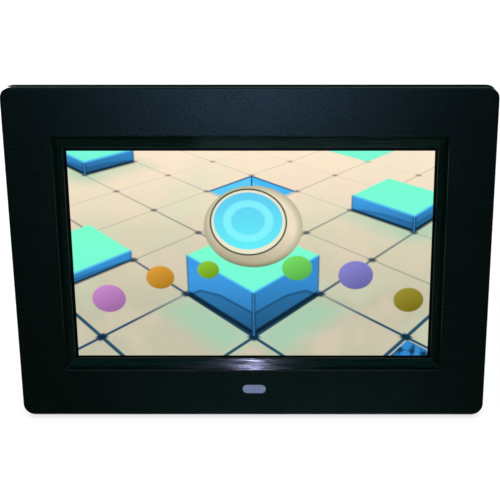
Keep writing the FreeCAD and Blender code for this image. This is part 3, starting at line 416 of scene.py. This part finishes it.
def cell_glass():
    t = Tree("cell_glass")
    n = t.noise(0.3, 2.0, 0.5)
    c = t.mix(t.ranged(n, 0.3, 0.7), lin(10, 12, 13), lin(15, 17, 19))
    t.shader(base=c, rough=t.ranged(n, 0.3, 0.7, 0.05, 0.09), spec=0.5)
    MATS["cell_glass"] = t.mat


cell_glass()


# ------------------------------------------------------------------ picture
# A plain tiled floor with a few raised blocks, a round dish and six beads,
# worked out with half planes in the screen's own millimetres.
PIC = (
    (33.0, -33.0, 0.0, 0.5),
    (17.35, 17.35, 20.0, -37.0),
    (0.151, 0.151, -0.012, 1.0),
)


def pic(i, j, h=0.0):
    q = [r[0] * i + r[1] * j + r[2] * h + r[3] for r in PIC]
    return (q[0] / q[2], q[1] / q[2])


def picture():
    t = Tree("screen")
    x, y, z = t.xyz()
    u = t.m("SUBTRACT", x, SX)
    w = t.m("SUBTRACT", z, SZ)
    P = t.vec(u, w, 1.0)

    def half(a, b):
        """Signed distance inside the edge a to b, for corners that go round
        anticlockwise."""
        dx, dy = b[0] - a[0], b[1] - a[1]
        s = math.hypot(dx, dy)
        nx, ny = -dy / s, dx / s
        return t.vm("DOT_PRODUCT", P, (nx, ny, -(nx * a[0] + ny * a[1])))

    def polygon(pts, soft=0.45, grow=0.0):
        area = sum(a[0] * b[1] - b[0] * a[1] for a, b in zip(pts, pts[1:] + pts[:1]))
        if area < 0:
            pts = pts[::-1]
        d = None
        for a, b in zip(pts, pts[1:] + pts[:1]):
            e = half(a, b)
            d = e if d is None else t.m("MINIMUM", d, e)
        return t.m("MULTIPLY_ADD", d, 1.0 / soft, 0.5 + grow / soft, clamp=True)

    def line(a, b, width, soft=0.35):
        """Straight stroke from a to b."""
        dx, dy = b[0] - a[0], b[1] - a[1]
        s = math.hypot(dx, dy)
        nx, ny = -dy / s, dx / s
        k = width / 2
        return polygon([(a[0] + nx * k, a[1] + ny * k), (a[0] - nx * k, a[1] - ny * k),
                        (b[0] - nx * k, b[1] - ny * k), (b[0] + nx * k, b[1] + ny * k)], soft)

    def disc(cx_, cy_, rx, ry, soft=0.5):
        """1 inside an ellipse."""
        q = t.vm("DOT_PRODUCT", P, (1.0 / rx, 0.0, -cx_ / rx))
        p = t.vm("DOT_PRODUCT", P, (0.0, 1.0 / ry, -cy_ / ry))
        r = t.m("SQRT", t.m("ADD", t.m("MULTIPLY", q, q), t.m("MULTIPLY", p, p)))
        k = min(rx, ry)
        return t.m("MULTIPLY_ADD", r, -k / soft, k / soft + 0.5, clamp=True), r, q, p

    # floor, lighter away from the viewer, with tile joints
    floor = t.mix(t.ranged(w, -22.0, 20.0), lin(196, 193, 168), lin(226, 216, 187))
    floor = t.mix(t.ranged(w, 12.0, 44.0), floor, lin(254, 234, 206))
    tint = t.noise(0.045, 2.0, 0.5)
    floor = t.mix(t.ranged(tint, 0.50, 0.75, 0.0, 0.40), floor, lin(206, 224, 194))
    floor = t.mix(t.ranged(tint, 0.50, 0.28, 0.0, 0.30), floor, lin(250, 218, 200))
    # grid places from the picture's plane
    import_rows = Matrix(((PIC[0][0], PIC[0][1], PIC[0][3]), (PIC[1][0], PIC[1][1], PIC[1][3]), (PIC[2][0], PIC[2][1], PIC[2][3]))).inverted()
    gi, gj, gk = (t.vm("DOT_PRODUCT", P, tuple(import_rows[k])) for k in range(3))
    gi, gj = t.m("DIVIDE", gi, gk), t.m("DIVIDE", gj, gk)

    def joint(v, n, width, soft):
        f = t.m("ABSOLUTE", t.m("SUBTRACT", t.m("FRACT", t.m("ADD", t.m("MULTIPLY", v, n), 100.5)), 0.5))
        return t.ranged(f, width, width + soft, 1.0, 0.0)

    def quad(i0, i1, j0, j1, h=0.0, grow=0.0):
        return [pic(i0, j0, h), pic(i1, j0, h), pic(i1, j1, h), pic(i0, j1, h)]

    # soft reflections of the raised blocks in the tiles before them
    def sheen(i0, i1, j0, j1):
        return polygon(quad(i0, i1, j0, j1), soft=9.0, grow=0.5)

    for i0, j0, h in ((0, 0, 1.0), (3, 0, 0.5), (1, 5, 0.5)):
        floor = t.mix(t.m("MULTIPLY", sheen(i0 - 0.34 * h, i0 + 0.02, j0 + 0.0, j0 + 0.92), 0.75), floor, lin(160, 208, 178))
        floor = t.mix(t.m("MULTIPLY", sheen(i0 + 0.0, i0 + 0.92, j0 - 0.34 * h, j0 + 0.02), 0.75), floor, lin(158, 208, 178))

    # joints that run towards the middle are deep, the others shallow
    fade = t.ranged(w, -26.0, 40.0, 1.0, 0.20)
    near = t.ranged(w, -8.0, -30.0)
    wi = t.m("MAXIMUM", t.ranged(u, -12.0, 12.0, 1.0, 0.42), near)
    wj = t.m("MAXIMUM", t.ranged(u, -12.0, 12.0, 0.42, 1.0), near)
    ji, jj = joint(gi, 1.0, 0.010, 0.014), joint(gj, 1.0, 0.010, 0.014)
    jt = t.m("MAXIMUM", t.m("MULTIPLY", ji, wi), t.m("MULTIPLY", jj, wj))
    floor = t.mix(t.m("MULTIPLY", jt, fade), floor, lin(14, 62, 92))
    core = t.m("MAXIMUM", joint(gi, 1.0, 0.001, 0.004), joint(gj, 1.0, 0.001, 0.004))
    floor = t.mix(t.m("MULTIPLY", t.m("MULTIPLY", core, near), 0.35), floor, lin(60, 150, 190))
    knots = t.m("MULTIPLY", joint(gi, 1.0, 0.030, 0.03), joint(gj, 1.0, 0.030, 0.03))
    floor = t.mix(t.m("MULTIPLY", knots, t.ranged(w, -30.0, 44.0, 1.0, 0.45)), floor, lin(10, 46, 70))
    img = floor

    # flush coloured tiles
    img = t.mix(polygon(quad(5, 6.2, 2, 3.0)), img, lin(126, 250, 214))
    pit = polygon(quad(2.03, 2.97, 2.03, 2.97))
    img = t.mix(pit, img, lin(90, 204, 250))
    img = t.mix(polygon([pic(2.97, 2.97), pic(2.97, 2.03), pic(2.78, 2.03), pic(2.78, 2.78)]), img, lin(72, 186, 244))
    img = t.mix(t.m("MAXIMUM", line(pic(2.97, 2.97), pic(2.03, 2.97), 0.55), line(pic(2.97, 2.97), pic(2.97, 2.03), 0.55)), img, lin(30, 92, 150))
    img = t.mix(line(pic(2.97, 2.97), (pic(2.97, 2.97)[0], pic(2.97, 2.97)[1] - 5.0), 0.6), img, lin(28, 88, 148))
    low = polygon(quad(0.0, 0.97, -2.0, -1.03))
    img = t.mix(low, img, lin(52, 138, 206))
    img = t.mix(t.m("MULTIPLY", low, t.ranged(t.noise(0.22, 2.0, 0.5), 0.45, 0.6)), img, lin(16, 58, 92))

    # raised blocks
    def block(img, i0, j0, h, i1=None, j1=None):
        i1 = i0 + 1 if i1 is None else i1
        j1 = j0 + 1 if j1 is None else j1
        e = 0.015
        i0, i1, j0, j1 = i0 + e, i1 - e, j0 + e, j1 - e
        left = [pic(i0, j0), pic(i0, j1), pic(i0, j1, h), pic(i0, j0, h)]
        right = [pic(i0, j0), pic(i1, j0), pic(i1, j0, h), pic(i0, j0, h)]
        top = [pic(i0, j0, h), pic(i1, j0, h), pic(i1, j1, h), pic(i0, j1, h)]
        lo, hi = pic(i0, j0)[1], pic(i0, j0, h)[1]
        k = t.ranged(w, lo - 1.0, hi + 6.0)
        ml, mr, mt = polygon(left), polygon(right), polygon(top)
        img = t.mix(ml, img, t.mix(k, lin(36, 92, 140), lin(62, 154, 226)))
        img = t.mix(mr, img, t.mix(k, lin(34, 92, 136), lin(54, 140, 208)))
        # the far bottom edges show through as a darker arch on each side
        for face, pts in ((ml, [pic(i0, j0), pic(i0, j0, 0.54 * h), pic(i0, j0 + 0.45, 0.50 * h), pic(i0, j0 + 0.76, 0.32 * h), pic(i0, j1)]),
                          (mr, [pic(i0, j0), pic(i0, j0, 0.54 * h), pic(i0 + 0.45, j0, 0.50 * h), pic(i0 + 0.76, j0, 0.32 * h), pic(i1, j0)])):
            arch = polygon(pts, soft=0.7)
            rim_ = t.m("MULTIPLY", arch, t.m("SUBTRACT", 1.0, polygon(pts, soft=0.9, grow=-0.9)))
            img = t.mix(t.m("MULTIPLY", t.m("MULTIPLY", arch, face), 0.46 if h > 0.6 else 0.24), img, lin(24, 72, 102))
            img = t.mix(t.m("MULTIPLY", t.m("MULTIPLY", rim_, face), 0.55 if h > 0.6 else 0.3), img, lin(16, 54, 88))
        foot = t.m("MAXIMUM", line(pic(i0, j0, 0.05 * h), pic(i0, j1, 0.02 * h), 0.6 + 1.5 * h, 0.9), line(pic(i0, j0, 0.05 * h), pic(i1, j0, 0.02 * h), 0.6 + 1.5 * h, 0.9))
        img = t.mix(t.m("MULTIPLY", foot, 0.92), img, lin(5, 26, 40))
        img = t.mix(t.m("MULTIPLY", line(pic(i0, j0), pic(i0, j0, h), 1.7, 0.5), 0.70), img, lin(18, 66, 110))
        img = t.mix(t.m("MULTIPLY", line(pic(i0, j0), pic(i0, j0, 0.96 * h), 0.45, 0.4), 0.70), img, lin(66, 142, 196))
        for end in ((i0, j1), (i1, j0)):
            img = t.mix(t.m("MULTIPLY", line(pic(*end), pic(end[0], end[1], h), 0.7, 0.5), 0.60), img, lin(18, 70, 116))
        img = t.mix(mt, img, t.mix(t.ranged(w, hi, hi + 20.0), lin(118, 250, 218), lin(124, 255, 208)))
        edge = t.m("MAXIMUM", line(pic(i0, j0, h), pic(i1, j0, h), 0.9, 0.6), line(pic(i0, j0, h), pic(i0, j1, h), 0.9, 0.6))
        img = t.mix(t.m("MULTIPLY", edge, 0.75), img, lin(70, 186, 246))
        return img

    img = block(img, 1, 5, 0.5)
    img = block(img, 3, 0, 0.5)
    img = block(img, -1, 2, 0.27)
    img = block(img, 0, 0, 1.0)

    # round dish
    d0, r0, qx, qy = disc(0.7, 12.85, 20.8, 17.9)
    body = t.mix(t.ranged(t.m("ADD", qy, t.m("MULTIPLY", qx, 0.25)), -1.05, 0.1), lin(172, 162, 134), lin(238, 224, 196))
    body = t.mix(t.ranged(r0, 0.84, 1.0, 0.0, 0.75), body, lin(158, 158, 128))
    body = t.mix(t.m("MULTIPLY", t.ranged(r0, 0.90, 0.99), t.ranged(qy, -0.55, -0.95)), body, lin(128, 128, 100))
    img = t.mix(d0, img, body)
    d1, r1, _, _ = disc(-1.3, 14.9, 16.3, 14.7)
    img = t.mix(d1, img, lin(14, 64, 50))
    d2, r2, _, _ = disc(-1.3, 14.9, 15.6, 14.0)
    img = t.mix(d2, img, lin(240, 232, 204))
    d3, r3, ax3, ay3 = disc(-1.4, 15.4, 14.5, 12.5)
    cyan = t.mix(t.ranged(ay3, -0.9, 0.9), lin(100, 238, 250), lin(96, 206, 242))
    img = t.mix(d3, img, cyan)
    ring = t.m("MULTIPLY", t.ranged(r3, 0.46, 0.52), t.ranged(r3, 0.70, 0.76, 1.0, 0.0))
    img = t.mix(t.m("MULTIPLY", ring, 0.75), img, lin(138, 248, 255))

    # beads
    for bx, by, rr_, c in ((-61.5, -19.2, 7.2, (182, 122, 186)), (-39.2, -9.6, 6.0, (204, 142, 34)), (-18.6, -6.2, 4.6, (128, 182, 28)),
                           (19.2, -5.4, 6.4, (104, 204, 84)), (44.2, -8.6, 7.4, (122, 118, 192)), (67.0, -19.8, 6.4, (140, 128, 22))):
        d, r, ax_, ay_ = disc(bx, by, rr_, rr_ * 0.86)
        tone_ = t.ranged(t.m("ADD", ay_, t.m("MULTIPLY", ax_, -0.5)), -1.0, 1.1)
        base = lin(*c)
        dark = tuple(v * 0.72 for v in base[:3]) + (1.0,)
        lite = tuple(min(1.0, v * 1.18 + 0.02) for v in base[:3]) + (1.0,)
        img = t.mix(d, img, t.mix(tone_, dark, lite))
    # edge of the lit area, with the black matrix round it
    lx, lz = AA_W / 2 - 0.2, AA_H / 2 - 0.1
    lit = polygon([(-lx, -lz), (lx, -lz), (lx, lz), (-lx, lz)], soft=0.12)
    img = t.mix(lit, (0.0, 0.0, 0.0, 1.0), img)
    haze = t.noise(6.0, 2.0, 0.5)
    t.shader(base=lin(3, 4, 5), rough=t.ranged(haze, 0.3, 0.7, 0.30, 0.36), spec=0.22, emit=img, emit_s=1.0,
             normal=t.bump(haze, 0.15, 0.00001))
    MATS["screen"] = t.mat


picture()

for s in RECORD["subparts"]:
    o = NODES[s["node"]]
    mat = MATS[s["material_slot"]]
    if o.data.materials:
        for k in range(len(o.data.materials)):
            o.data.materials[k] = mat
    else:
        o.data.materials.append(mat)

# ------------------------------------------------------------------ studio
floor_mesh = bpy.data.meshes.new("studio_floor")
bm = bmesh.new()
bmesh.ops.create_grid(bm, x_segments=8, y_segments=8, size=8.0)
bm.to_mesh(floor_mesh)
bm.free()
floor = bpy.data.objects.new("studio_floor", floor_mesh)
bpy.context.scene.collection.objects.link(floor)
ft = Tree("studio_floor")
fn = ft.noise(3.0, 2.0, 0.5, v=ft.obj)
ft.shader(base=ft.mix(ft.ranged(fn, 0.3, 0.7), (0.85, 0.852, 0.856, 1.0), (0.88, 0.882, 0.886, 1.0)), rough=0.75, spec=0.1)
floor_mesh.materials.append(ft.mat)
floor.visible_glossy = False

# plain white backdrop all round, seen by the camera only
dome_mesh = bpy.data.meshes.new("studio_backdrop")
bm = bmesh.new()
bmesh.ops.create_uvsphere(bm, u_segments=48, v_segments=24, radius=7.5)
bm.to_mesh(dome_mesh)
bm.free()
dome = bpy.data.objects.new("studio_backdrop", dome_mesh)
bpy.context.scene.collection.objects.link(dome)
dt = Tree("studio_backdrop")
dn = dt.node("ShaderNodeEmission")
dn.inputs[0].default_value = (1.0, 1.0, 1.0, 1.0)
dn.inputs[1].default_value = 1.0
dt.t.links.new(dn.outputs[0], dt.out.inputs[0])
dome_mesh.materials.append(dt.mat)
for flag in ("visible_diffuse", "visible_glossy", "visible_transmission", "visible_volume_scatter", "visible_shadow"):
    setattr(dome, flag, False)

world = bpy.data.worlds.new("studio")
bpy.context.scene.world = world
world.use_nodes = True
bg = world.node_tree.nodes.get("Background") or world.node_tree.nodes.new("ShaderNodeBackground")
bg.inputs[0].default_value = (0.50, 1.0, 0.90, 1.0)
bg.inputs[1].default_value = 0.010

only_floor = bpy.data.collections.new("light_floor")
only_floor.objects.link(floor)
not_floor = bpy.data.collections.new("light_object")
not_floor.objects.link(floor)
not_floor.collection_objects[0].light_linking.link_state = "EXCLUDE"


def lamp(kind, name, at, aim, power, colour=(1, 1, 1), size=(0.1, 0.1), on=None):
    light = bpy.data.lights.new(name, kind)
    if kind == "AREA":
        light.shape = "RECTANGLE"
        light.size, light.size_y = size
    light.energy = power
    light.color = colour
    o = bpy.data.objects.new(name, light)
    bpy.context.scene.collection.objects.link(o)
    o.location = at
    o.rotation_euler = (Vector(aim) - Vector(at)).to_track_quat("-Z", "Y").to_euler()
    o.light_linking.receiver_collection = on or not_floor
    o.visible_camera = False
    return o


# two lights on the table alone: one throws the soft contact shadow, one doesn't
table = lamp("SUN", "table_light", (0.0, 0.0, 3.0), (0.0, 0.0, 0.0), 1.3, on=only_floor)
table.data.angle = math.radians(110.0)
table_fill = lamp("SUN", "table_fill", (0.5, 0.0, 3.0), (0.5, 0.0, 0.0), 2.6, on=only_floor)
table_fill.data.use_shadow = False
lamp("AREA", "overhead", (0.05, 0.10, 1.3), (0.0, 0.03, 0.05), 2.6, (0.92, 1.0, 0.98), (0.9, 0.9))
lamp("AREA", "front_sheen", (-0.045, -1.20, 0.322), (0.0, 0.0, 0.12), 0.64, (0.325, 0.60, 1.0), (0.12, 0.22))
bounce = lamp("AREA", "table_bounce", (0.030, -0.19, -0.10), (0.01, -0.005, 0.117), 0.034, (0.46, 0.90, 0.92), (0.16, 0.10))
bounce.visible_diffuse = False
bounce.light_linking.blocker_collection = not_floor
glow = lamp("AREA", "table_glow", (0.0, -0.50, -0.07), (0.0, -0.03, 0.015), 0.012, (0.30, 1.0, 1.0), (0.25, 0.15))
glow.visible_diffuse = False
glow.light_linking.blocker_collection = not_floor
lamp("AREA", "rear_left", (-0.80, 1.05, 0.62), (0.0, 0.03, 0.06), 34.0, (1.0, 0.98, 0.95), (0.6, 0.5))
lamp("AREA", "rear_right", (0.95, 0.85, 0.40), (0.0, 0.03, 0.06), 17.0, (0.93, 0.97, 1.0), (0.5, 0.5))
# small flash beside the lens, set where the lower bevel mirrors it to the lens
FLASH_AT = Vector((-0.8, 1.4, ZC - 49.0))
bev_n = Vector((0.0, -math.cos(math.radians(23.1)), math.sin(math.radians(23.1))))
FLASH_POWER = 0.039

# ------------------------------------------------------------------ camera
F_PX = 1150.0
PITCH, YAW, ROLL = math.radians(17.795), math.radians(0.161), math.radians(0.006)
CAM_UP = Vector((17.66, -460.12, 151.42 + ZC))
B = Matrix(((1, 0, 0), (0, 0, 1), (0, -1, 0)))
RX = Matrix(((1, 0, 0), (0, math.cos(PITCH), -math.sin(PITCH)), (0, math.sin(PITCH), math.cos(PITCH))))
RY = Matrix(((math.cos(YAW), 0, -math.sin(YAW)), (0, 1, 0), (math.sin(YAW), 0, math.cos(YAW))))
RZ = Matrix(((math.cos(ROLL), math.sin(ROLL), 0), (-math.sin(ROLL), math.cos(ROLL), 0), (0, 0, 1)))
to_cam = RZ @ RY @ RX @ B
cam_rot = (TURN @ to_cam.transposed()).to_4x4()
cam = bpy.data.cameras.new("camera")
cam.sensor_width = 36.0
cam.lens = F_PX * 36.0 / 500.0
cam.shift_x = -0.080
cam.clip_start, cam.clip_end = 0.01, 50.0
cam_obj = bpy.data.objects.new("camera", cam)
bpy.context.scene.collection.objects.link(cam_obj)
cam_obj.matrix_world = Matrix.Translation(row(*CAM_UP)) @ cam_rot
bpy.context.scene.camera = cam_obj
view = (CAM_UP - FLASH_AT).normalized()
way = 2.0 * view.dot(bev_n) * bev_n - view
lamp("AREA", "flash", row(*(FLASH_AT + way * 490.0)), row(*FLASH_AT), FLASH_POWER, (0.60, 0.62, 1.0), (0.010, 0.012))
bpy.context.scene.view_settings.view_transform = "Standard"
bpy.context.scene.view_settings.look = "None"
